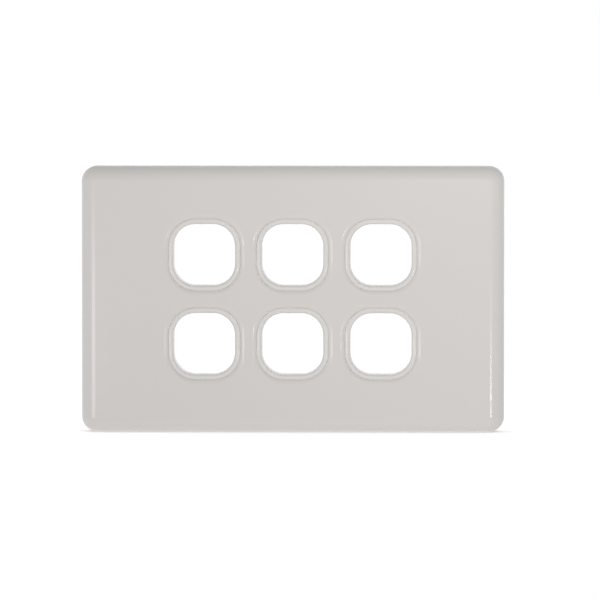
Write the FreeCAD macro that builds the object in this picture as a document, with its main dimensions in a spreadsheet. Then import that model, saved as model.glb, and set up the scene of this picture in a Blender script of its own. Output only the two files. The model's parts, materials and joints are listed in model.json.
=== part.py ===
import FreeCAD, Part
import math
import os
import re
import Sketcher

# A six-bay grid switch plate: a moulded mounting grid, and the cover that snaps over it and hides its
# fixing screws. The wall is the plane y = 0, the room is at -Y, X runs along the plate and Z is up.

# Driving dimensions, in millimetres
SIZES = {
    "plate_width": 116.0,  # outline of the cover
    "plate_height": 73.0,
    "plate_depth": 9.5,  # from the wall to the cover's front face
    "edge_radius": 4.0,  # roundover from the front face to the side walls
    "face_corner": 0.2,  # corner radius of the flat part of the front face
    "cover_wall": 2.0,
    "cover_lift": 0.3,  # the cover's rear edge stands this far off the wall
    "cover_gap": 0.3,  # play between the cover's side walls and the grid
    "column_pitch": 24.2,
    "row_pitch": 24.4,
    "aperture": 16.8,  # clear width and height of each bay
    "aperture_corner": 6.0,
    "collar_wall": 1.45,  # rim of the grid that shows round each aperture
    "collar_gap": 0.1,  # play between that rim and the cover
    "collar_sink": 0.28,  # the rim ends this far behind the cover's front face
    "collar_land": 0.55,  # flat left between the two bevels of the rim
    "lip_width": 1.25,  # dished band of the cover's face round each aperture
    "lip_depth": 0.5,  # how far that band dips towards the rim
    "web_thickness": 2.0,  # the grid's plate
    "web_back": 2.2,  # from the wall to the back of that plate
    "rim_wall": 1.8,  # skirt round the grid, down to the wall
    "fixing_pitch": 84.0,  # between the two fixing screws
    "slot_width": 4.2,
    "slot_length": 6.4,
    "pillar_wall": 1.6,  # round each fixing slot
    "cell_wall": 1.6,  # between two cells in a row
    "cell_depth": 6.0,  # from the back of the plate to the end of the cell walls
    "tongue_wall": 1.0,  # cell wall that carries a spring tongue
    "tongue_play": 0.8,  # room between two rows for their tongues to bend
    "tongue_width": 8.0,
    "tongue_slit": 0.8,  # slit each side of a tongue
    "tongue_root": 0.6,  # the slits end this far from the plate
    "barb_reach": 0.7,  # hook on the end of a tongue
    "barb_seat": 4.2,  # from the back of the plate to the hook's shoulder
    "rib_wall": 1.2,  # stiffeners behind the plate
    "rib_lift": 0.5,  # the stiffeners end this far from the wall
    "catch_pitch": 64.0,  # between the two cover catches of a long side
    "catch_width": 9.0,
    "catch_reach": 0.9,
    "catch_land": 0.4,  # flat between a catch's shoulder and its ramp
    "catch_play": 0.1,  # between a catch's shoulder and the back of the plate
    "catch_side": 0.5,  # play each side of a catch in its notch
    "post_diameter": 4.0,  # the cover's stand-offs, which rest on the plate
    "post_inset": 9.0,  # from the outline of the cover
    "pry_width": 10.0,  # notch under the cover for a screwdriver
    "pry_height": 1.4,
}
COLUMNS = 3
ROWS = 2
EVEN_STEP = -1.0  # a pattern's mark for a step that follows its common spacing
LIP_SHARE = 0.45  # most of the strip between two apertures that one dished band may take

# Formulas that several features share
WEB_FRONT = "(web_back + web_thickness)"
LAST_COLUMN = f"({(COLUMNS - 1) / 2} * column_pitch)"
LAST_ROW = f"({(ROWS - 1) / 2} * row_pitch)"
CORNER = "(edge_radius + face_corner)"
CAVITY_WIDTH = "(plate_width - 2 * cover_wall)"
CAVITY_HEIGHT = "(plate_height - 2 * cover_wall)"
GRID_WIDTH = "(plate_width - 2 * cover_wall - 2 * cover_gap)"
GRID_HEIGHT = "(plate_height - 2 * cover_wall - 2 * cover_gap)"
GRID_CORNER = "(edge_radius + face_corner - cover_wall - cover_gap)"
COLLAR = "(aperture + 2 * collar_wall)"
COLLAR_CORNER = "(aperture_corner + collar_wall)"
COLLAR_FRONT = "(plate_depth - collar_sink)"
COVER_HOLE = "(aperture + 2 * collar_wall + 2 * collar_gap)"
COVER_HOLE_CORNER = "(aperture_corner + collar_wall + collar_gap)"
LIP = f"min(lip_width; {LIP_SHARE} * (min(column_pitch; row_pitch) - {COVER_HOLE}))"
CELL_WIDTH = "(column_pitch - cell_wall)"
CELL_HEIGHT = "(row_pitch - tongue_play - 2 * tongue_wall)"

# How a sketch counts the points of its lines and arcs, and its own origin
START, END, CENTRE = 1, 2, 3
SKETCH_ORIGIN = (-1, START)

TOLERANCE = 1e-4

doc = FreeCAD.newDocument("grid_switch_plate")


def make_sheet():
    """The spreadsheet that every sketch and feature takes its sizes from."""
    sheet = doc.addObject("Spreadsheet::Sheet", "Sizes")
    for row, (alias, size) in enumerate(SIZES.items(), start=1):
        sheet.set(f"A{row}", alias.replace("_", " "))
        sheet.set(f"B{row}", str(size))
        sheet.setAlias(f"B{row}", alias)
    doc.recompute()
    return sheet


sheet = make_sheet()


def cells(formula):
    """The formula with each alias written as a cell of the sheet."""
    return re.sub(r"[a-z]\w+", lambda word: "Sizes." + word[0] if word[0] in SIZES else word[0], formula)


def number(formula):
    return float(sheet.evalExpression(cells(formula)))


def bind(target, name, formula):
    target.setExpression(name, cells(formula))


def origin_part(body, role):
    return next(part for part in body.Origin.OriginFeatures if part.Role == role)


def sketch_on(body, name, role, offset):
    """A sketch on one of the body's own planes, moved along that plane's normal by the offset."""
    sketch = body.newObject("Sketcher::SketchObject", name)
    sketch.AttachmentSupport = [(origin_part(body, role), "")]
    sketch.MapMode = "FlatFace"
    bind(sketch, "AttachmentOffset.Base.z", offset)
    return sketch


def front_sketch(body, name, distance):
    """A sketch seen from the room: X to the right, Z up, at that distance in front of the wall."""
    return sketch_on(body, name, "XZ_Plane", distance)


def side_sketch(body, name, x):
    """A sketch across the plate at that x, whose own axes are the part's Y and Z."""
    return sketch_on(body, name, "YZ_Plane", x)


def dimension(sketch, kind, references, formula):
    index = sketch.addConstraint(Sketcher.Constraint(kind, *references, number(formula)))
    bind(sketch, f"Constraints[{index}]", formula)


def pin_point(sketch, geometry, end, x=None, y=None):
    """Holds a point of a line or arc at a distance from the sketch's origin, along either axis or both."""
    if x is not None:
        dimension(sketch, "DistanceX", (*SKETCH_ORIGIN, geometry, end), x)
    if y is not None:
        dimension(sketch, "DistanceY", (*SKETCH_ORIGIN, geometry, end), y)


def tangent_chain(sketch, chain):
    for here, following in zip(chain, chain[1:] + chain[:1]):
        sketch.addConstraint(Sketcher.Constraint("Tangent", here, END, following, START))


def add_arc(sketch, x, y, radius, start_deg, end_deg):
    circle = Part.Circle(FreeCAD.Vector(x, y, 0), FreeCAD.Vector(0, 0, 1), radius)
    return sketch.addGeometry(Part.ArcOfCircle(circle, math.radians(start_deg), math.radians(end_deg)))


def add_line(sketch, start, end):
    return sketch.addGeometry(Part.LineSegment(FreeCAD.Vector(*start, 0), FreeCAD.Vector(*end, 0)))


def rounded_rectangle(sketch, width, height, radius, x="0", y="0"):
    cx, cy, r = number(x), number(y), number(radius)
    right, top = cx + number(width) / 2, cy + number(height) / 2
    left, bottom = 2 * cx - right, 2 * cy - top
    floor_line = add_line(sketch, (left + r, bottom), (right - r, bottom))
    arcs = [add_arc(sketch, right - r, bottom + r, r, 270, 360)]
    right_line = add_line(sketch, (right, bottom + r), (right, top - r))
    arcs.append(add_arc(sketch, right - r, top - r, r, 0, 90))
    top_line = add_line(sketch, (right - r, top), (left + r, top))
    arcs.append(add_arc(sketch, left + r, top - r, r, 90, 180))
    left_line = add_line(sketch, (left, top - r), (left, bottom + r))
    arcs.append(add_arc(sketch, left + r, bottom + r, r, 180, 270))
    tangent_chain(
        sketch, [floor_line, arcs[0], right_line, arcs[1], top_line, arcs[2], left_line, arcs[3]]
    )
    for line in (floor_line, top_line):
        sketch.addConstraint(Sketcher.Constraint("Horizontal", line))
    for line in (right_line, left_line):
        sketch.addConstraint(Sketcher.Constraint("Vertical", line))
    for arc in arcs[1:]:
        sketch.addConstraint(Sketcher.Constraint("Equal", arcs[0], arc))
    dimension(sketch, "Radius", (arcs[0],), radius)
    pin_point(sketch, right_line, START, x=f"{x} + {width} / 2")
    pin_point(sketch, left_line, START, x=f"{x} - {width} / 2")
    pin_point(sketch, top_line, START, y=f"{y} + {height} / 2")
    pin_point(sketch, floor_line, START, y=f"{y} - {height} / 2")


def slot_outline(sketch, length, width, x):
    """A slot along the sketch's own X axis, centred on it at x."""
    cx, r = number(x), number(width) / 2
    reach = number(length) / 2 - r
    right_arc = add_arc(sketch, cx + reach, 0, r, -90, 90)
    top_line = add_line(sketch, (cx + reach, r), (cx - reach, r))
    left_arc = add_arc(sketch, cx - reach, 0, r, 90, 270)
    floor_line = add_line(sketch, (cx - reach, -r), (cx + reach, -r))
    tangent_chain(sketch, [right_arc, top_line, left_arc, floor_line])
    sketch.addConstraint(Sketcher.Constraint("Equal", right_arc, left_arc))
    dimension(sketch, "Radius", (right_arc,), f"{width} / 2")
    pin_point(sketch, right_arc, CENTRE, x=f"{x} + ({length} - {width}) / 2", y="0")
    pin_point(sketch, left_arc, CENTRE, x=f"{x} - ({length} - {width}) / 2", y="0")


def polygon(sketch, corners):
    """A closed outline of straight sides, with a pair of formulas for each corner."""
    points = [(number(x), number(y)) for x, y in corners]
    sides = [add_line(sketch, here, there) for here, there in zip(points, points[1:] + points[:1])]
    for here, following in zip(sides, sides[1:] + sides[:1]):
        sketch.addConstraint(Sketcher.Constraint("Coincident", here, END, following, START))
    for side, (x, y) in zip(sides, corners):
        pin_point(sketch, side, START, x=x, y=y)


def rectangle(sketch, left, right, bottom, top):
    polygon(sketch, [(left, bottom), (right, bottom), (right, top), (left, top)])


def circle(sketch, diameter, x, y):
    middle = FreeCAD.Vector(number(x), number(y), 0)
    index = sketch.addGeometry(Part.Circle(middle, FreeCAD.Vector(0, 0, 1), number(diameter) / 2))
    dimension(sketch, "Diameter", (index,), diameter)
    pin_point(sketch, index, CENTRE, x=x, y=y)


def pad(body, sketch, name, length, towards_wall=False, both_ways=False):
    """Adds material: towards the room, towards the wall, or half of it each way."""
    feature = body.newObject("PartDesign::Pad", name)
    feature.Profile = (sketch, [""])
    feature.Reversed = towards_wall
    if both_ways:
        feature.SideType = "Symmetric"
    bind(feature, "Length", length)
    body.Tip = feature
    doc.recompute()
    return feature


def make_cut(body, feature):
    """Computes a feature that takes material away, and proves that it did."""
    before = body.Shape.Volume
    body.Tip = feature
    doc.recompute()
    if not feature.Shape.Volume < before:
        raise RuntimeError(f"{feature.Name} cuts nothing")
    return feature


def pocket(body, sketch, name, depth, towards_wall=False):
    """Takes material away, towards the room or towards the wall."""
    feature = body.newObject("PartDesign::Pocket", name)
    feature.Profile = (sketch, [""])
    feature.Reversed = not towards_wall
    bind(feature, "Length", depth)
    return make_cut(body, feature)


def dish(body, name, mouth, floor):
    """Takes away a recess with sloping sides, from its mouth to the smaller outline of its floor."""
    feature = body.newObject("PartDesign::SubtractiveLoft", name)
    feature.Profile = (mouth, [""])
    feature.Sections = [(floor, [""])]
    feature.Ruled = True
    return make_cut(body, feature)


def soften(body, kind, name, size_name, size, wanted):
    """Fillets or chamfers the edges that the test picks out of the body's present shape."""
    base = body.Tip
    edges = [f"Edge{i}" for i, edge in enumerate(base.Shape.Edges, start=1) if wanted(edge)]
    if not edges:
        raise RuntimeError(f"{name} finds no edge")
    feature = body.newObject(kind, name)
    feature.Base = (base, edges)
    bind(feature, size_name, size)
    body.Tip = feature
    doc.recompute()
    return feature


def fillet(body, name, radius, wanted):
    return soften(body, "PartDesign::Fillet", name, "Radius", radius, wanted)


def chamfer(body, name, size, wanted):
    return soften(body, "PartDesign::Chamfer", name, "Size", size, wanted)


def lies_in_front(edge, distance):
    """Whether the whole edge lies in the plane at that distance in front of the wall."""
    box = edge.BoundBox
    return abs(box.YMin + distance) < TOLERANCE and abs(box.YMax + distance) < TOLERANCE


def spread(body, name, features, columns, column_step, rows=1, row_step="0"):
    """Repeats features from the rightmost column and top row, towards -X and -Z."""
    pattern = body.newObject("PartDesign::LinearPattern", name)
    pattern.Originals = features
    pattern.Direction = (origin_part(body, "X_Axis"), [""])
    pattern.Reversed = True
    pattern.Mode = "Spacing"
    pattern.Occurrences = columns
    bind(pattern, "Offset", column_step)
    if rows > 1:
        pattern.Direction2 = (origin_part(body, "Z_Axis"), [""])
        pattern.Reversed2 = True
        pattern.Mode2 = "Spacing"
        pattern.Occurrences2 = rows
        pattern.Spacings2 = [EVEN_STEP] * (rows - 1)
        bind(pattern, "Offset2", row_step)
    body.Tip = pattern
    doc.recompute()
    return pattern


def make_cover():
    body = doc.addObject("PartDesign::Body", "Cover")
    body.Label = "cover_plate"

    outline = front_sketch(body, "cover_outline", "cover_lift")
    rounded_rectangle(outline, "plate_width", "plate_height", CORNER)
    pad(body, outline, "cover_block", "plate_depth - cover_lift")
    front = number("plate_depth")
    fillet(body, "front_roundover", "edge_radius", lambda edge: lies_in_front(edge, front))

    cavity = front_sketch(body, "cavity_outline", "cover_lift")
    rounded_rectangle(cavity, CAVITY_WIDTH, CAVITY_HEIGHT, f"({CORNER} - cover_wall)")
    pocket(body, cavity, "cavity", "plate_depth - cover_lift - cover_wall")
    roof = number("plate_depth - cover_wall")
    fillet(body, "cavity_roundover", "edge_radius - cover_wall", lambda edge: lies_in_front(edge, roof))

    mouth = front_sketch(body, "lip_outline", "plate_depth")
    mouth_size = f"({COVER_HOLE} + 2 * {LIP})"
    mouth_corner = f"({COVER_HOLE_CORNER} + {LIP})"
    rounded_rectangle(mouth, mouth_size, mouth_size, mouth_corner, LAST_COLUMN, LAST_ROW)
    hole = front_sketch(body, "collar_hole_outline", "plate_depth - lip_depth")
    rounded_rectangle(hole, COVER_HOLE, COVER_HOLE, COVER_HOLE_CORNER, LAST_COLUMN, LAST_ROW)
    lip = dish(body, "lip", mouth, hole)
    hole = pocket(body, hole, "collar_hole", "cover_wall - lip_depth", towards_wall=True)
    spread(body, "collar_holes", [lip, hole], COLUMNS, "column_pitch", ROWS, "row_pitch")

    posts = front_sketch(body, "post_outlines", WEB_FRONT)
    for x_sign in ("", "-"):
        for z_sign in ("", "-"):
            circle(
                posts,
                "post_diameter",
                f"{x_sign}(plate_width / 2 - post_inset)",
                f"{z_sign}(plate_height / 2 - post_inset)",
            )
    pad(body, posts, "posts", f"plate_depth - cover_wall - {WEB_FRONT}")

    shoulder = "-(web_back - catch_play)"
    catch = side_sketch(body, "catch_profile", "catch_pitch / 2")
    for sign in ("", "-"):
        wall = f"{sign}{CAVITY_HEIGHT} / 2"
        tip = f"{sign}({CAVITY_HEIGHT} / 2 - catch_reach)"
        polygon(
            catch,
            [
                (shoulder, wall),
                (shoulder, tip),
                (f"{shoulder} + catch_land", tip),
                ("-cover_lift", wall),
            ],
        )
    catches = pad(body, catch, "catch", "catch_width", both_ways=True)
    spread(body, "catches", [catches], 2, "catch_pitch")

    notch = front_sketch(body, "pry_notch_outline", "cover_lift")
    rectangle(notch, "-pry_width / 2", "pry_width / 2", "-plate_height / 2", f"-{CAVITY_HEIGHT} / 2")
    pocket(body, notch, "pry_notch", "pry_height")
    return body


def make_grid():
    body = doc.addObject("PartDesign::Body", "Grid")
    body.Label = "grid_plate"

    web = front_sketch(body, "web_outline", "web_back")
    rounded_rectangle(web, GRID_WIDTH, GRID_HEIGHT, GRID_CORNER)
    pad(body, web, "web", "web_thickness")

    rim = front_sketch(body, "rim_outline", "web_back")
    rounded_rectangle(rim, GRID_WIDTH, GRID_HEIGHT, GRID_CORNER)
    rectangle(
        rim,
        f"-({GRID_WIDTH} / 2 - rim_wall)",
        f"{GRID_WIDTH} / 2 - rim_wall",
        f"-({GRID_HEIGHT} / 2 - rim_wall)",
        f"{GRID_HEIGHT} / 2 - rim_wall",
    )
    pad(body, rim, "rim", "web_back", towards_wall=True)

    pillars = front_sketch(body, "pillar_outlines", "web_back")
    for sign in ("", "-"):
        slot_outline(
            pillars,
            "(slot_length + 2 * pillar_wall)",
            "(slot_width + 2 * pillar_wall)",
            f"{sign}fixing_pitch / 2",
        )
    pad(body, pillars, "pillars", "web_back", towards_wall=True)

    ribs = front_sketch(body, "column_rib_outlines", "web_back")
    for sign in ("", "-"):
        rectangle(
            ribs,
            f"{sign}column_pitch / 2 - rib_wall / 2",
            f"{sign}column_pitch / 2 + rib_wall / 2",
            f"-({GRID_HEIGHT} / 2 - rim_wall)",
            f"{GRID_HEIGHT} / 2 - rim_wall",
        )
    pad(body, ribs, "column_ribs", "web_back - rib_lift", towards_wall=True)
    ribs = front_sketch(body, "row_rib_outlines", "web_back")
    for sign in ("", "-"):
        rectangle(
            ribs,
            f"-({GRID_WIDTH} / 2 - rim_wall)",
            f"{GRID_WIDTH} / 2 - rim_wall",
            f"{sign}row_pitch / 2 - rib_wall / 2",
            f"{sign}row_pitch / 2 + rib_wall / 2",
        )
    pad(body, ribs, "row_ribs", "web_back - rib_lift", towards_wall=True)

    rows = front_sketch(body, "cell_row_outlines", "web_back")
    for sign in ("", "-"):
        rectangle(
            rows,
            f"-({COLUMNS} * column_pitch + cell_wall) / 2",
            f"({COLUMNS} * column_pitch + cell_wall) / 2",
            f"{sign}{LAST_ROW} - ({CELL_HEIGHT} / 2 + tongue_wall)",
            f"{sign}{LAST_ROW} + ({CELL_HEIGHT} / 2 + tongue_wall)",
        )
    pad(body, rows, "cell_rows", "cell_depth", towards_wall=True)

    bay = make_bay(body)
    spread(body, "bays", bay, COLUMNS, "column_pitch", ROWS, "row_pitch")

    slots = front_sketch(body, "slot_outlines", WEB_FRONT)
    for sign in ("", "-"):
        slot_outline(slots, "slot_length", "slot_width", f"{sign}fixing_pitch / 2")
    pocket(body, slots, "fixing_slots", WEB_FRONT, towards_wall=True)

    notches = front_sketch(body, "catch_notch_outlines", "web_back")
    for x_sign in ("", "-"):
        for bottom, top in (
            (f"{GRID_HEIGHT} / 2 - rim_wall", f"{GRID_HEIGHT} / 2"),
            (f"-{GRID_HEIGHT} / 2", f"-({GRID_HEIGHT} / 2 - rim_wall)"),
        ):
            rectangle(
                notches,
                f"{x_sign}catch_pitch / 2 - (catch_width / 2 + catch_side)",
                f"{x_sign}catch_pitch / 2 + (catch_width / 2 + catch_side)",
                bottom,
                top,
            )
    pocket(body, notches, "catch_notches", "web_back", towards_wall=True)

    top = number(COLLAR_FRONT)
    chamfer(
        body, "collar_bevels", "(collar_wall - collar_land) / 2", lambda edge: lies_in_front(edge, top)
    )
    return body


def make_bay(body):
    """The top right bay of the grid: its collar, its aperture and the cell that a switch snaps into."""
    collar = front_sketch(body, "collar_outline", WEB_FRONT)
    rounded_rectangle(collar, COLLAR, COLLAR, COLLAR_CORNER, LAST_COLUMN, LAST_ROW)
    collar = pad(body, collar, "collar", f"{COLLAR_FRONT} - {WEB_FRONT}")

    aperture = front_sketch(body, "aperture_outline", "web_back")
    rounded_rectangle(aperture, "aperture", "aperture", "aperture_corner", LAST_COLUMN, LAST_ROW)
    aperture = pocket(body, aperture, "aperture", f"{COLLAR_FRONT} - web_back")

    cell = front_sketch(body, "cell_outline", "web_back")
    rectangle(
        cell,
        f"{LAST_COLUMN} - {CELL_WIDTH} / 2",
        f"{LAST_COLUMN} + {CELL_WIDTH} / 2",
        f"{LAST_ROW} - {CELL_HEIGHT} / 2",
        f"{LAST_ROW} + {CELL_HEIGHT} / 2",
    )
    cell = pocket(body, cell, "cell", "cell_depth", towards_wall=True)

    slits = front_sketch(body, "slit_outlines", "web_back - tongue_root")
    for x_sign in ("+", "-"):
        middle = f"{LAST_COLUMN} {x_sign} (tongue_width + tongue_slit) / 2"
        for bottom, top in (
            (f"{LAST_ROW} + {CELL_HEIGHT} / 2", f"{LAST_ROW} + {CELL_HEIGHT} / 2 + tongue_wall"),
            (f"{LAST_ROW} - {CELL_HEIGHT} / 2 - tongue_wall", f"{LAST_ROW} - {CELL_HEIGHT} / 2"),
        ):
            rectangle(slits, f"{middle} - tongue_slit / 2", f"{middle} + tongue_slit / 2", bottom, top)
    slits = pocket(body, slits, "tongue_slits", "cell_depth - tongue_root", towards_wall=True)

    barbs = side_sketch(body, "barb_profiles", LAST_COLUMN)
    for sign in ("+", "-"):
        wall = f"{LAST_ROW} {sign} {CELL_HEIGHT} / 2"
        tip = f"{LAST_ROW} {sign} ({CELL_HEIGHT} / 2 - barb_reach)"
        polygon(
            barbs,
            [
                ("-web_back + barb_seat", wall),
                ("-web_back + barb_seat", tip),
                ("-web_back + cell_depth", wall),
            ],
        )
    barbs = pad(body, barbs, "barbs", "tongue_width", both_ways=True)
    return [collar, aperture, cell, slits, barbs]


def check_and_write(bodies):
    """Stops at a failed feature or a bad solid, then writes each sub-part under its own name."""
    doc.recompute()
    failed = [item.Name for item in doc.Objects if {"Invalid", "Error"} & set(item.State)]
    if failed:
        raise RuntimeError(f"failed features: {failed}")
    for body in bodies:
        shape = body.Shape
        if shape.isNull() or not shape.isValid() or len(shape.Solids) != 1:
            raise RuntimeError(f"{body.Label} is not one valid solid")
    os.makedirs("parts", exist_ok=True)
    for body in bodies:
        body.Shape.exportStep(f"parts/{body.Label}.step")
        print(body.Label, "volume", round(body.Shape.Volume, 1), "mm3")


check_and_write([make_cover(), make_grid()])
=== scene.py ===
import json
import math

import bmesh
import bpy
from mathutils import Euler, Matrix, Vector


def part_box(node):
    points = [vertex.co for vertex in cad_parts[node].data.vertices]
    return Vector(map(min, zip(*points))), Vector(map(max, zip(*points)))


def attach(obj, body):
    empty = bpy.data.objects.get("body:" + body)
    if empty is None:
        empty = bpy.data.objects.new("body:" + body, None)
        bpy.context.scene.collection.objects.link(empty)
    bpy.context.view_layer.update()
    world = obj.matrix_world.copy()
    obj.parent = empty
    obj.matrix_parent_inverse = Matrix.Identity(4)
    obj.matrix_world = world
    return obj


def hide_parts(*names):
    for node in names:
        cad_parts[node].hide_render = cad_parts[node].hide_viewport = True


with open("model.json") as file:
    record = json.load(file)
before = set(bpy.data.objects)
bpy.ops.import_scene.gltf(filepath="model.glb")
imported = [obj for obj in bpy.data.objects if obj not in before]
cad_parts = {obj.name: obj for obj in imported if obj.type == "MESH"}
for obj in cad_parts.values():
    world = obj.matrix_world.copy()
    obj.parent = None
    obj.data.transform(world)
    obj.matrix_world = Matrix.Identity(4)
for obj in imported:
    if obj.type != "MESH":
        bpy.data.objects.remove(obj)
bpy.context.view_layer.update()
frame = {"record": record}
coverLow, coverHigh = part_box("cover_plate")
gridLow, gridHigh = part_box("grid_plate")

# The wall is the plane y = 0, the room is at -Y, X runs along the plate and Z is up.
mm = 0.001
mounts = {mount["name"]: mount for mount in frame["record"]["mounts"]}
bays = [Vector(mount["pos_m"]) for name, mount in mounts.items() if name.endswith("_bay")]
bayPlaces = [(bay.x, 0, bay.z) for bay in bays]
columns = sorted({bay.x for bay in bays})
rows = sorted({bay.z for bay in bays})
fixings = mounts["fixing_slots"]["dims"]
print("frame:", len(bays), "bays in", len(columns), "columns")


# Hand tools

squareOn = 0.99  # share of a direction that lies along Y when it counts as square on
hair = 0.1 * mm  # tells one level from the next
shading = {"sharpFrom": math.radians(30), "faceWeight": 100}
smooth = {  # steps in each kind of round
    "corner": 14,
    "edge": 16,
    "cavity": 8,
    "bay": 16,
    "lip": 8,
    "bead": 6,
    "soft": 2,
    "slot": 12,
    "post": 32,
}


def deselectAll():
    if bpy.context.object and bpy.context.object.mode != "OBJECT":
        bpy.ops.object.mode_set(mode="OBJECT")
    bpy.ops.object.select_all(action="DESELECT")


def makeActive(piece):
    deselectAll()
    piece.select_set(True)
    bpy.context.view_layer.objects.active = piece


def startEdit(piece, selectMode):
    makeActive(piece)
    bpy.ops.object.mode_set(mode="EDIT")
    bpy.ops.mesh.select_mode(type=selectMode)
    bpy.ops.mesh.select_all(action="DESELECT")
    return bmesh.from_edit_mesh(piece.data)


def endEdit():
    bpy.ops.object.mode_set(mode="OBJECT")


def pickFaces(piece, wanted):
    shape = startEdit(piece, "FACE")
    for face in shape.faces:
        if wanted(face):
            face.select_set(True)
    bmesh.update_edit_mesh(piece.data)


def pickEdges(piece, wanted):
    shape = startEdit(piece, "EDGE")
    for edge in shape.edges:
        if wanted(edge):
            edge.select_set(True)
    bmesh.update_edit_mesh(piece.data)


def facesRoom(face):
    return face.normal.y < -squareOn


def facesWall(face):
    return face.normal.y > squareOn


def runsToWall(edge):
    along = edge.verts[1].co - edge.verts[0].co
    return abs(along.normalized().y) > squareOn


def addBlock(name, low, high):
    deselectAll()
    low, high = Vector(low), Vector(high)
    bpy.ops.mesh.primitive_cube_add(size=1, location=(low + high) / 2)
    block = bpy.context.object
    block.name = name
    block.scale = high - low
    bpy.ops.object.transform_apply(location=True, rotation=True, scale=True)
    return block


def addRoundedBlock(name, low, high, corner, segments):
    block = addBlock(name, low, high)
    pickEdges(block, runsToWall)
    bpy.ops.mesh.bevel(offset=corner, offset_type="OFFSET", segments=segments, clamp_overlap=False)
    endEdit()
    return block


def arcTurns(start, end, steps):
    turns = [start + (end - start) * step / steps for step in range(steps + 1)]
    return zip(turns, turns[1:])


def arcThrough(width, depth):  # radius and turn of an arc that leaves a flat face and drops by the depth
    turn = 2 * math.atan2(depth, width)
    return width / math.sin(turn), turn


def insetFace(thickness, depth=0):
    bpy.ops.mesh.inset(thickness=thickness, depth=depth, use_even_offset=True)


def roundOver(radius, steps, rise=1, turn=math.pi / 2):  # the picked face shrinks along a round edge
    for before, after in arcTurns(math.pi / 2 - turn, math.pi / 2, steps):
        insetFace(
            radius * (math.cos(before) - math.cos(after)),
            rise * radius * (math.sin(after) - math.sin(before)),
        )


def flareIn(radius, steps, turn=math.pi / 2):  # it shrinks as it moves out, like a trumpet's bell
    for before, after in arcTurns(0, turn, steps):
        insetFace(
            radius * (math.sin(after) - math.sin(before)),
            radius * (math.cos(before) - math.cos(after)),
        )


def pushFace(distance):  # along Y
    bpy.ops.mesh.extrude_region_move(TRANSFORM_OT_translate={"value": (0, distance, 0)})


def softenRear(piece, soft):
    pickFaces(piece, facesWall)
    roundOver(soft, smooth["soft"])
    endEdit()


def slideToRamp(piece, level, wall, reach):  # the inner edge past the level slides back to the wall
    pickEdges(piece, lambda edge: all(v.co.y > level + hair and v.co.z < wall for v in edge.verts))
    bpy.ops.transform.translate(value=(0, 0, reach))
    endEdit()


def bothSides(place):
    return [(-place, 0, 0), (place, 0, 0)]


def copyTo(source, offsets):  # a copy with its own mesh at each offset, joined, and the source goes
    copies = []
    for offset in offsets:
        makeActive(source)
        bpy.ops.object.duplicate(linked=False)
        bpy.ops.transform.translate(value=offset)
        bpy.ops.object.transform_apply(location=True, rotation=True, scale=True)
        copies.append(bpy.context.object)
    bpy.data.objects.remove(source)
    return joinAll(copies)


def joinAll(pieces):
    deselectAll()
    for piece in pieces:
        piece.select_set(True)
    bpy.context.view_layer.objects.active = pieces[0]
    bpy.ops.object.join()
    return pieces[0]


def mirrorZ(source):  # adds the copy on the other side of z = 0
    makeActive(source)
    mirror = source.modifiers.new("otherSide", "MIRROR")
    mirror.use_axis = (False, False, True)
    mirror.use_mirror_merge = False
    bpy.ops.object.modifier_apply(modifier=mirror.name)
    return source


def combine(piece, tool, operation):
    makeActive(piece)
    step = piece.modifiers.new(operation.lower(), "BOOLEAN")
    step.operation = operation
    step.solver = "EXACT"
    step.object = tool
    bpy.ops.object.modifier_apply(modifier=step.name)
    bpy.data.objects.remove(tool)
    print("  ", piece.name, operation.lower(), len(piece.data.polygons), "faces")


def addTo(piece, tool):
    combine(piece, tool, "UNION")


def cutFrom(piece, tool):
    combine(piece, tool, "DIFFERENCE")


def finishShading(piece):
    makeActive(piece)
    bpy.ops.object.shade_smooth_by_angle(angle=shading["sharpFrom"])
    even = piece.modifiers.new("evenNormals", "WEIGHTED_NORMAL")
    even.keep_sharp = True
    even.weight = shading["faceWeight"]
    bpy.ops.object.modifier_apply(modifier=even.name)


# The mounting grid, behind the cover

gridSizes = {
    "corner": 1.9 * mm,
    "webThickness": 2.0 * mm,
    "webBack": 2.2 * mm,  # from the wall to the back of the web
    "rimWall": 1.8 * mm,
    "apertureHalf": 8.4 * mm,
    "apertureCorner": 6.0 * mm,
    "collarWall": 1.45 * mm,
    "beadWidth": 0.6 * mm,  # a collar's round outer edge
    "beadDrop": 0.22 * mm,
    "mouthWidth": 0.62 * mm,  # its sloping inner edge
    "mouthSlope": math.radians(44),
    "mouthRadius": 0.3 * mm,  # where that slope begins
    "cellHalfX": 11.3 * mm,
    "cellHalfZ": 10.8 * mm,
    "cellWall": 1.6 * mm,
    "tongueWall": 1.0 * mm,
    "tongueHalf": 4.0 * mm,
    "tongueSlit": 0.8 * mm,
    "tongueRoot": 0.6 * mm,
    "slitPast": 0.3 * mm,  # how far a slit's cutter reaches past the wall, short of the next row
    "barbReach": 0.7 * mm,
    "barbSeat": 4.2 * mm,  # from the back of the web to a barb's shoulder
    "ribHalf": 0.6 * mm,
    "ribLift": 0.5 * mm,
    "pillarWall": 1.6 * mm,
    "slotRound": 0.96,  # a slot's corners, as a share of a half circle
    "notchPlace": 32.0 * mm,  # a notch in the rim for each of the cover's catches
    "notchHalf": 5.0 * mm,
    "notchPast": 0.5 * mm,  # how far its cutter reaches inside the rim
    "soft": 0.15 * mm,  # small rounding of a moulded edge
    "lead": 0.03 * mm,  # a flared cutter starts this far outside the face it opens
    "sunk": 0.6 * mm,  # how deep one lump starts inside another
    "clear": 2.0 * mm,  # how far a cutter reaches past what it cuts
}
webRear = -gridSizes["webBack"]
webFront = webRear - gridSizes["webThickness"]
collarFront = gridLow.y
slotHalfX = fixings["slot_length_mm"] / 2 * mm
slotHalfZ = fixings["hole_r_mm"] * mm
fixingPlace = fixings["spacing_x_mm"] / 2 * mm


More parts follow.
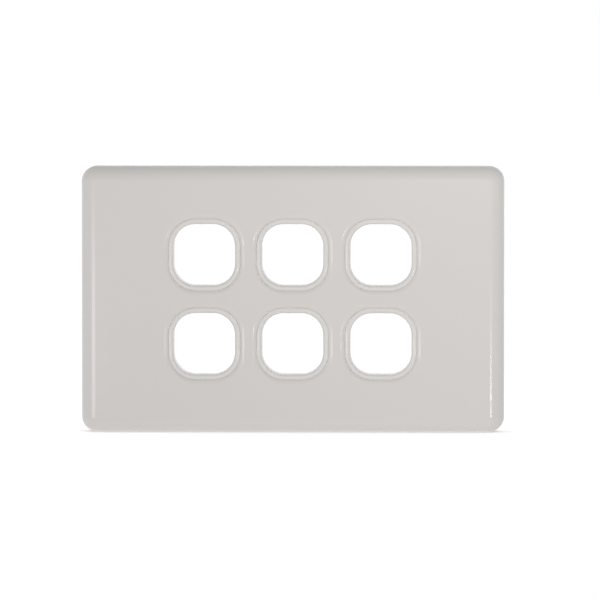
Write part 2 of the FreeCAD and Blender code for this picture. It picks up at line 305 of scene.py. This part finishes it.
def makeTray():
    soft, rim = gridSizes["soft"], gridSizes["rimWall"]
    tray = addRoundedBlock(
        "switchGrid",
        (gridLow.x, webFront + soft, gridLow.z),
        (gridHigh.x, -soft, gridHigh.z),
        gridSizes["corner"],
        smooth["corner"],
    )
    pickFaces(tray, facesRoom)
    roundOver(soft, smooth["soft"])
    endEdit()
    pickFaces(tray, facesWall)
    roundOver(soft, smooth["soft"])
    insetFace(rim - 2 * soft)
    insetFace(soft, -soft)
    pushFace(webRear + soft)
    endEdit()
    return tray


def makeCellRows():
    halfX = (columns[-1] - columns[0]) / 2 + gridSizes["cellHalfX"] + gridSizes["cellWall"]
    halfZ = gridSizes["cellHalfZ"] + gridSizes["tongueWall"]
    soft = gridSizes["soft"]
    row = addBlock(
        "cellRow",
        (-halfX, webRear - gridSizes["sunk"], -halfZ),
        (halfX, gridHigh.y - soft, halfZ),
    )
    softenRear(row, soft)
    return copyTo(row, [(0, 0, z) for z in rows])


def makeRibs():
    half, sunk = gridSizes["ribHalf"], gridSizes["sunk"]
    soft = gridSizes["soft"]
    innerX = gridHigh.x - gridSizes["rimWall"] + sunk
    innerZ = gridHigh.z - gridSizes["rimWall"] + sunk
    rearLevel = -gridSizes["ribLift"] - soft
    upright = addBlock("uprightRib", (-half, webRear - sunk, -innerZ), (half, rearLevel, innerZ))
    level = addBlock("levelRib", (-innerX, webRear - sunk, -half), (innerX, rearLevel, half))
    for rib in (upright, level):
        softenRear(rib, soft)
    betweenColumns = [(left + right) / 2 for left, right in zip(columns, columns[1:])]
    uprights = copyTo(upright, [(x, 0, 0) for x in betweenColumns])
    levels = copyTo(level, [(0, 0, z) for z in rows])
    return uprights, levels


def makePillars():
    halfX, halfZ = slotHalfX + gridSizes["pillarWall"], slotHalfZ + gridSizes["pillarWall"]
    soft = gridSizes["soft"]
    pillar = addRoundedBlock(
        "fixingPillar",
        (-halfX, webRear - gridSizes["sunk"], -halfZ),
        (halfX, -soft, halfZ),
        halfZ * gridSizes["slotRound"],
        smooth["slot"],
    )
    softenRear(pillar, soft)
    return copyTo(pillar, bothSides(fixingPlace))


def makeCollars():
    half = gridSizes["apertureHalf"] + gridSizes["collarWall"]
    drop = gridSizes["beadDrop"]
    radius, turn = arcThrough(gridSizes["beadWidth"], drop)
    collar = addRoundedBlock(
        "collar",
        (-half, collarFront + drop, -half),
        (half, webFront + gridSizes["sunk"], half),
        gridSizes["apertureCorner"] + gridSizes["collarWall"],
        smooth["bay"],
    )
    pickFaces(collar, facesRoom)
    roundOver(radius, smooth["bead"], turn=turn)
    endEdit()
    return copyTo(collar, bayPlaces)


def makeApertureCutters():
    mouth, radius, slope = gridSizes["mouthWidth"], gridSizes["mouthRadius"], gridSizes["mouthSlope"]
    half = gridSizes["apertureHalf"] + mouth
    straight = mouth - radius * math.sin(slope)
    cutter = addRoundedBlock(
        "apertureCutter",
        (-half, collarFront - gridSizes["clear"], -half),
        (half, collarFront, half),
        gridSizes["apertureCorner"] + mouth,
        smooth["bay"],
    )
    pickFaces(cutter, facesWall)
    flareIn(radius, smooth["bead"], turn=slope)
    insetFace(straight, straight * math.tan(slope))
    pushFace(webRear - collarFront)
    endEdit()
    return copyTo(cutter, bayPlaces)


def makeCellCutters():
    soft = gridSizes["soft"]
    halfX, halfZ = gridSizes["cellHalfX"] + soft, gridSizes["cellHalfZ"] + soft
    mouth = gridHigh.y + gridSizes["lead"]
    cutter = addBlock("cellCutter", (-halfX, mouth, -halfZ), (halfX, mouth + gridSizes["clear"], halfZ))
    pickFaces(cutter, facesRoom)
    flareIn(soft, smooth["soft"])
    pushFace(webRear - (mouth - soft))
    endEdit()
    return copyTo(cutter, bayPlaces)


def makeSlotCutters():
    soft, clear = gridSizes["soft"], gridSizes["clear"]
    halfX, halfZ = slotHalfX + soft, slotHalfZ + soft
    cutter = addRoundedBlock(
        "slotCutter",
        (-halfX, gridSizes["lead"], -halfZ),
        (halfX, clear, halfZ),
        halfZ * gridSizes["slotRound"],
        smooth["slot"],
    )
    pickFaces(cutter, facesRoom)
    flareIn(soft, smooth["soft"])
    pushFace(webFront - clear)
    endEdit()
    return copyTo(cutter, bothSides(fixingPlace))


def makeNotchCutters():
    half, clear = gridSizes["notchHalf"], gridSizes["clear"]
    innerZ = gridHigh.z - gridSizes["rimWall"] - gridSizes["notchPast"]
    cutter = addBlock("notchCutter", (-half, webRear, innerZ), (half, clear, gridHigh.z + clear))
    return mirrorZ(copyTo(cutter, bothSides(gridSizes["notchPlace"])))


def makeSlitCutters():
    half, clear = gridSizes["tongueSlit"] / 2, gridSizes["clear"]
    place = gridSizes["tongueHalf"] + half
    inner = gridSizes["cellHalfZ"] - gridSizes["barbReach"] - gridSizes["slitPast"]
    outer = gridSizes["cellHalfZ"] + gridSizes["tongueWall"] + gridSizes["slitPast"]
    cutter = addBlock(
        "slitCutter",
        (-half, webRear + gridSizes["tongueRoot"], inner),
        (half, gridHigh.y + clear, outer),
    )
    mirrorZ(cutter)
    return copyTo(cutter, [(bay.x + side * place, 0, bay.z) for bay in bays for side in (-1, 1)])


def makeBarbs():
    half = gridSizes["tongueHalf"] + gridSizes["tongueSlit"] / 2  # the slits then trim it to the tongue
    wall, reach = gridSizes["cellHalfZ"], gridSizes["barbReach"]
    shoulder = webRear + gridSizes["barbSeat"]
    rampEnd = gridHigh.y - 2 * gridSizes["soft"]
    barb = addBlock("barb", (-half, shoulder, wall - reach), (half, rampEnd, wall + gridSizes["sunk"]))
    slideToRamp(barb, shoulder, wall, reach)  # it lets a switch in
    mirrorZ(barb)
    return copyTo(barb, bayPlaces)


grid = makeTray()
for lump in (makeCellRows(), *makeRibs(), makePillars(), makeCollars()):
    addTo(grid, lump)
for cutter in (makeCellCutters(), makeApertureCutters(), makeSlotCutters(), makeNotchCutters()):
    cutFrom(grid, cutter)
addTo(grid, makeBarbs())
cutFrom(grid, makeSlitCutters())
finishShading(grid)
print("grid:", len(grid.data.polygons), "faces")


# The clip-on cover

coverSizes = {
    "edgeRadius": 4.0 * mm,  # roundover from the face to the sides
    "faceCorner": 0.2 * mm,
    "wall": 2.0 * mm,
    "collarGap": 0.02 * mm,
    "lipWidth": 1.25 * mm,  # the face dips towards each hole
    "lipDrop": 0.5 * mm,
    "postRadius": 2.0 * mm,
    "postInset": 9.0 * mm,
    "catchHalf": 4.5 * mm,
    "catchReach": 0.9 * mm,
    "catchLand": 0.4 * mm,
    "catchPlay": 0.1 * mm,
    "pryHalf": 5.0 * mm,
    "pryHeight": 1.4 * mm,
    "soft": 0.2 * mm,
    "sunk": 0.6 * mm,
    "clear": 2.0 * mm,
}
roofLevel = coverLow.y + coverSizes["wall"]


def makeCoverShell():
    radius, wall, soft = coverSizes["edgeRadius"], coverSizes["wall"], coverSizes["soft"]
    shell = addRoundedBlock(
        "switchCover",
        (coverLow.x, coverLow.y + radius, coverLow.z),
        (coverHigh.x, coverHigh.y - soft, coverHigh.z),
        radius + coverSizes["faceCorner"],
        smooth["corner"],
    )
    pickFaces(shell, facesRoom)
    roundOver(radius, smooth["edge"])
    endEdit()
    pickFaces(shell, facesWall)  # the rear edge, then the hollow behind the face
    roundOver(soft, smooth["soft"])
    insetFace(wall - 2 * soft)
    insetFace(soft, -soft)
    pushFace(roofLevel + (radius - wall) - (coverHigh.y - soft))
    roundOver(radius - wall, smooth["cavity"], rise=-1)
    endEdit()
    return shell


def makeCollarHoleCutters():
    lip = coverSizes["lipWidth"]
    radius, turn = arcThrough(lip, coverSizes["lipDrop"])
    grown = gridSizes["collarWall"] + coverSizes["collarGap"] + lip
    half = gridSizes["apertureHalf"] + grown
    cutter = addRoundedBlock(
        "collarHoleCutter",
        (-half, coverLow.y - coverSizes["clear"], -half),
        (half, coverLow.y, half),
        gridSizes["apertureCorner"] + grown,
        smooth["bay"],
    )
    pickFaces(cutter, facesWall)
    flareIn(radius, smooth["lip"], turn=turn)
    pushFace(coverSizes["clear"])
    endEdit()
    return copyTo(cutter, bayPlaces)


def makePosts():
    soft, inset = coverSizes["soft"], coverSizes["postInset"]
    start, end = roofLevel - coverSizes["sunk"], webFront - soft
    deselectAll()
    bpy.ops.mesh.primitive_cylinder_add(
        vertices=smooth["post"],
        radius=coverSizes["postRadius"],
        depth=end - start,
        location=(0, (start + end) / 2, 0),
        rotation=(math.pi / 2, 0, 0),
    )
    post = bpy.context.object
    post.name = "standOffPost"
    bpy.ops.object.transform_apply(location=True, rotation=True, scale=True)
    softenRear(post, soft)
    placesX = (coverLow.x + inset, coverHigh.x - inset)
    placesZ = (coverLow.z + inset, coverHigh.z - inset)
    return copyTo(post, [(x, 0, z) for x in placesX for z in placesZ])


def makeCatches():
    half, reach, soft = coverSizes["catchHalf"], coverSizes["catchReach"], coverSizes["soft"]
    wallFace = coverHigh.z - coverSizes["wall"]
    shoulder = webRear + coverSizes["catchPlay"]
    landEnd = shoulder + coverSizes["catchLand"]
    rampEnd = coverHigh.y - soft
    catch = addBlock(
        "catch",
        (-half, shoulder, wallFace - reach),
        (half, landEnd, wallFace + coverSizes["sunk"]),
    )
    pickFaces(catch, facesWall)
    pushFace(rampEnd - landEnd)
    endEdit()
    slideToRamp(catch, landEnd, wallFace, reach)
    return mirrorZ(copyTo(catch, bothSides(gridSizes["notchPlace"])))


def makePryCutter():
    half, clear = coverSizes["pryHalf"], coverSizes["clear"]
    wallFace = coverLow.z + coverSizes["wall"]
    return addBlock(
        "pryCutter",
        (-half, coverHigh.y - coverSizes["pryHeight"], coverLow.z - clear),
        (half, coverHigh.y + clear, wallFace + clear),
    )


cover = makeCoverShell()
cutFrom(cover, makeCollarHoleCutters())
addTo(cover, makePosts())
addTo(cover, makeCatches())
cutFrom(cover, makePryCutter())
finishShading(cover)
print("cover:", len(cover.data.polygons), "faces")


# Finishes

def addNode(tree, kind, **values):
    node = tree.nodes.new(kind)
    for name, value in values.items():
        setattr(node, name, value)
    return node


skinTexture = {
    "driftScale": 45,  # slow drift of the colour over the whole plate
    "driftDetail": 2,
    "polishScale": 260,  # uneven gloss
    "polishDetail": 4,
    "polishRange": (0.3, 0.7),  # the part of that noise that runs from polished to dull
    "rippleDetail": 3,
    "rippleDepth": 0.1 * mm,
    "ior": 1.5,
}


def addNoise(tree, place, detail):
    noise = addNode(tree, "ShaderNodeTexNoise")
    noise.inputs["Detail"].default_value = detail
    tree.links.new(place, noise.inputs["Vector"])
    return noise


def makeMouldedSkin():  # colour drift, uneven polish and fine ripple of a moulded surface
    group = bpy.data.node_groups.new("mouldedSkin", "ShaderNodeTree")
    wanted = (
        ("Place", "INPUT", "NodeSocketVector"),
        ("Pale", "INPUT", "NodeSocketColor"),
        ("Deep", "INPUT", "NodeSocketColor"),
        ("Polished", "INPUT", "NodeSocketFloat"),
        ("Dull", "INPUT", "NodeSocketFloat"),
        ("Ripple Scale", "INPUT", "NodeSocketFloat"),
        ("Colour", "OUTPUT", "NodeSocketColor"),
        ("Roughness", "OUTPUT", "NodeSocketFloat"),
        ("Height", "OUTPUT", "NodeSocketFloat"),
    )
    for name, direction, kind in wanted:
        group.interface.new_socket(name=name, in_out=direction, socket_type=kind)
    inputs = addNode(group, "NodeGroupInput")
    outputs = addNode(group, "NodeGroupOutput")
    link = group.links.new

    drift = addNoise(group, inputs.outputs["Place"], skinTexture["driftDetail"])
    drift.inputs["Scale"].default_value = skinTexture["driftScale"]
    tint = addNode(group, "ShaderNodeMix", data_type="RGBA")
    link(drift.outputs["Fac"], tint.inputs["Factor"])
    link(inputs.outputs["Pale"], tint.inputs["A"])
    link(inputs.outputs["Deep"], tint.inputs["B"])
    link(tint.outputs["Result"], outputs.inputs["Colour"])

    polish = addNoise(group, inputs.outputs["Place"], skinTexture["polishDetail"])
    polish.inputs["Scale"].default_value = skinTexture["polishScale"]
    gloss = addNode(group, "ShaderNodeMapRange")
    link(polish.outputs["Fac"], gloss.inputs["Value"])
    for end, value in zip(("From Min", "From Max"), skinTexture["polishRange"]):
        gloss.inputs[end].default_value = value
    link(inputs.outputs["Polished"], gloss.inputs["To Min"])
    link(inputs.outputs["Dull"], gloss.inputs["To Max"])
    link(gloss.outputs["Result"], outputs.inputs["Roughness"])

    ripple = addNoise(group, inputs.outputs["Place"], skinTexture["rippleDetail"])
    link(inputs.outputs["Ripple Scale"], ripple.inputs["Scale"])
    link(ripple.outputs["Fac"], outputs.inputs["Height"])
    return group


mouldedSkin = makeMouldedSkin()
glossSkin = {"polished": 0.13, "dull": 0.18, "rippleScale": 900, "rippleStrength": 0.004}
insideSkin = {
    "pale": (0.655, 0.630, 0.607), "deep": (0.632, 0.607, 0.584),
    "polished": 0.44, "dull": 0.56, "rippleScale": 5200, "rippleStrength": 0.12,
}
plasticFinishes = {
    "coverGloss": {"pale": (0.662, 0.637, 0.614), "deep": (0.656, 0.631, 0.608), **glossSkin},
    "coverInside": insideSkin,
    "gridGloss": {"pale": (0.706, 0.680, 0.656), "deep": (0.700, 0.674, 0.650), **glossSkin},
    "gridInside": insideSkin,
}


def makePlastic(name):
    finish = plasticFinishes[name]
    plastic = bpy.data.materials.new(name)
    plastic.use_nodes = True
    tree = plastic.node_tree
    link = tree.links.new
    shader = tree.nodes["Principled BSDF"]
    place = addNode(tree, "ShaderNodeTexCoord")
    skin = addNode(tree, "ShaderNodeGroup", node_tree=mouldedSkin)
    link(place.outputs["Object"], skin.inputs["Place"])
    skin.inputs["Pale"].default_value = (*finish["pale"], 1)
    skin.inputs["Deep"].default_value = (*finish["deep"], 1)
    skin.inputs["Polished"].default_value = finish["polished"]
    skin.inputs["Dull"].default_value = finish["dull"]
    skin.inputs["Ripple Scale"].default_value = finish["rippleScale"]
    bump = addNode(tree, "ShaderNodeBump")
    bump.inputs["Strength"].default_value = finish["rippleStrength"]
    bump.inputs["Distance"].default_value = skinTexture["rippleDepth"]
    link(skin.outputs["Colour"], shader.inputs["Base Color"])
    link(skin.outputs["Roughness"], shader.inputs["Roughness"])
    link(skin.outputs["Height"], bump.inputs["Height"])
    link(bump.outputs["Normal"], shader.inputs["Normal"])
    shader.inputs["IOR"].default_value = skinTexture["ior"]
    return plastic


def dress(piece, outside, inside, isInside):  # the second finish goes on the hidden faces behind
    piece.data.materials.clear()
    piece.data.materials.append(makePlastic(outside))
    piece.data.materials.append(makePlastic(inside))
    pickFaces(piece, isInside)
    piece.active_material_index = 1
    bpy.ops.object.material_slot_assign()
    endEdit()


def isBehindFace(face):
    middle = face.calc_center_median()
    wall, soft = coverSizes["wall"], coverSizes["soft"]
    withinWalls = abs(middle.x) < coverHigh.x - wall + soft and abs(middle.z) < coverHigh.z - wall + soft
    return withinWalls and middle.y > roofLevel - soft


def isBehindWeb(face):
    return face.calc_center_median().y > webRear - gridSizes["soft"]


dress(cover, "coverGloss", "coverInside", isBehindFace)
dress(grid, "gridGloss", "gridInside", isBehindWeb)
print("finishes on")

for piece, node, slot in ((cover, "cover_plate", "cover"), (grid, "grid_plate", "grid")):
    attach(piece, "root")
    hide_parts(node)


# Studio

studio = {
    "fill": 0.94,  # brightness of the surroundings
    "fillLean": (-0.26, 0.40, -0.43),  # they are brighter to the left, behind and below
    "fillSides": 0.26,  # and brighter at the sides than above and below
    "floorSize": 8.0,
    "floorColour": (0.86, 0.86, 0.86),
    "floorLift": 0.64,  # what the camera sees on top of the light that falls on the floor
    "paintedShadowReach": 12 * mm,  # painted contact shadow: within it an ambient occlusion node darkens the floor's lift beside the plate
    "cameraDistance": 2.0,  # from where the outline is widest
    "frameWidth": 164.9 * mm,  # what the picture takes in there
    "frameMiddle": (1.88 * mm, -0.45 * mm),  # from the outline's middle to its own, right and up
    "cameraTurn": math.radians(1.57),  # to the right
    "cameraRise": math.radians(2.8),
    "sensor": 36.0,
}
lamps = {
    "key": {"place": (0.077, -0.30, 0.073), "size": (0.12, 0.12), "power": 0.41, "shine": False},
    "leftStrip": {"place": (-0.208, -0.45, -0.037), "size": (0.24, 0.065), "power": 0.18, "shine": True},
    "rightStrip": {"place": (0.14, -0.49, -0.061), "size": (0.06, 0.03), "power": 0.11, "shine": True},
}


def seesBackground(tree):  # camera, mirror and see-through rays meet plain white
    rays = addNode(tree, "ShaderNodeLightPath")
    total = rays.outputs["Is Camera Ray"]
    for kind in ("Is Glossy Ray", "Is Transmission Ray"):
        either = addNode(tree, "ShaderNodeMath", operation="MAXIMUM")
        tree.links.new(total, either.inputs[0])
        tree.links.new(rays.outputs[kind], either.inputs[1])
        total = either.outputs[0]
    return total


def makeSurroundings():
    world = bpy.data.worlds.new("softRoom")
    world.use_nodes = True
    tree = world.node_tree
    tree.nodes.clear()
    link = tree.links.new
    outlook = addNode(tree, "ShaderNodeTexCoord")
    lean = addNode(tree, "ShaderNodeVectorMath", operation="DOT_PRODUCT")
    link(outlook.outputs["Generated"], lean.inputs[0])
    lean.inputs[1].default_value = studio["fillLean"]
    squares = addNode(tree, "ShaderNodeVectorMath", operation="MULTIPLY")
    link(outlook.outputs["Generated"], squares.inputs[0])
    link(outlook.outputs["Generated"], squares.inputs[1])
    sides = addNode(tree, "ShaderNodeVectorMath", operation="DOT_PRODUCT")
    link(squares.outputs["Vector"], sides.inputs[0])
    sides.inputs[1].default_value = (studio["fillSides"], 0, -studio["fillSides"])
    uneven = addNode(tree, "ShaderNodeMath", operation="ADD")
    link(lean.outputs["Value"], uneven.inputs[0])
    link(sides.outputs["Value"], uneven.inputs[1])
    level = addNode(tree, "ShaderNodeMath", operation="MULTIPLY_ADD")
    link(uneven.outputs[0], level.inputs[0])
    level.inputs[1].default_value = studio["fill"]
    level.inputs[2].default_value = studio["fill"]
    fill = addNode(tree, "ShaderNodeBackground")
    link(level.outputs[0], fill.inputs["Strength"])
    white = addNode(tree, "ShaderNodeBackground")
    white.inputs["Color"].default_value = (1, 1, 1, 1)
    mix = addNode(tree, "ShaderNodeMixShader")
    link(seesBackground(tree), mix.inputs["Fac"])
    link(fill.outputs[0], mix.inputs[1])
    link(white.outputs[0], mix.inputs[2])
    output = addNode(tree, "ShaderNodeOutputWorld")
    link(mix.outputs[0], output.inputs["Surface"])
    bpy.context.scene.world = world


def makeFloor():
    deselectAll()
    bpy.ops.mesh.primitive_plane_add(size=studio["floorSize"], location=(0, 0, coverLow.z))
    floor = bpy.context.object
    floor.name = "floor"
    paper = bpy.data.materials.new("palePaper")
    paper.use_nodes = True
    tree = paper.node_tree
    tree.nodes.clear()
    link = tree.links.new
    matte = addNode(tree, "ShaderNodeBsdfDiffuse")
    matte.inputs["Color"].default_value = (*studio["floorColour"], 1)
    lift = addNode(tree, "ShaderNodeEmission")
    amount = addNode(tree, "ShaderNodeMath", operation="MULTIPLY")
    link(seesBackground(tree), amount.inputs[0])
    amount.inputs[1].default_value = studio["floorLift"]
    link(amount.outputs[0], lift.inputs["Strength"])
    # painted shadow: ambient occlusion darkens the floor's glow beside the plate, although the plate
    # blocks no glow
    shade = addNode(tree, "ShaderNodeAmbientOcclusion")
    shade.inputs["Distance"].default_value = studio["paintedShadowReach"]
    link(shade.outputs["Color"], lift.inputs["Color"])
    both = addNode(tree, "ShaderNodeAddShader")
    link(matte.outputs[0], both.inputs[0])
    link(lift.outputs[0], both.inputs[1])
    output = addNode(tree, "ShaderNodeOutputMaterial")
    link(both.outputs[0], output.inputs["Surface"])
    floor.data.materials.append(paper)
    floor.visible_diffuse = False  # the low fill reaches the plate through it
    floor.visible_shadow = False
    floor.visible_glossy = False


def makeLamps():
    for name, setup in lamps.items():
        deselectAll()
        bpy.ops.object.light_add(type="AREA", location=setup["place"])
        lamp = bpy.context.object
        lamp.name = name
        lamp.data.shape = "RECTANGLE"
        lamp.data.size, lamp.data.size_y = setup["size"]
        lamp.data.energy = setup["power"]
        lamp.rotation_euler = (-Vector(setup["place"])).to_track_quat("-Z", "Y").to_euler()
        lamp.visible_camera = False
        lamp.visible_glossy = setup["shine"]  # the strips only shine, the key only lights
        lamp.visible_diffuse = not setup["shine"]


def makeCamera():
    aside, above = studio["frameMiddle"]
    sideMiddle = Vector((0, (coverLow.y + coverSizes["edgeRadius"] + coverHigh.y) / 2, 0))
    turn = Euler((math.pi / 2 - studio["cameraRise"], 0, studio["cameraTurn"]))
    stand = sideMiddle + turn.to_matrix() @ Vector((aside, above, studio["cameraDistance"]))
    deselectAll()
    bpy.ops.object.camera_add(location=stand, rotation=turn)
    camera = bpy.context.object
    camera.data.sensor_width = studio["sensor"]
    camera.data.lens = studio["sensor"] * studio["cameraDistance"] / studio["frameWidth"]
    bpy.context.scene.camera = camera


makeSurroundings()
makeFloor()
makeLamps()
makeCamera()
bpy.context.scene.view_settings.view_transform = "Standard"
print("studio set")
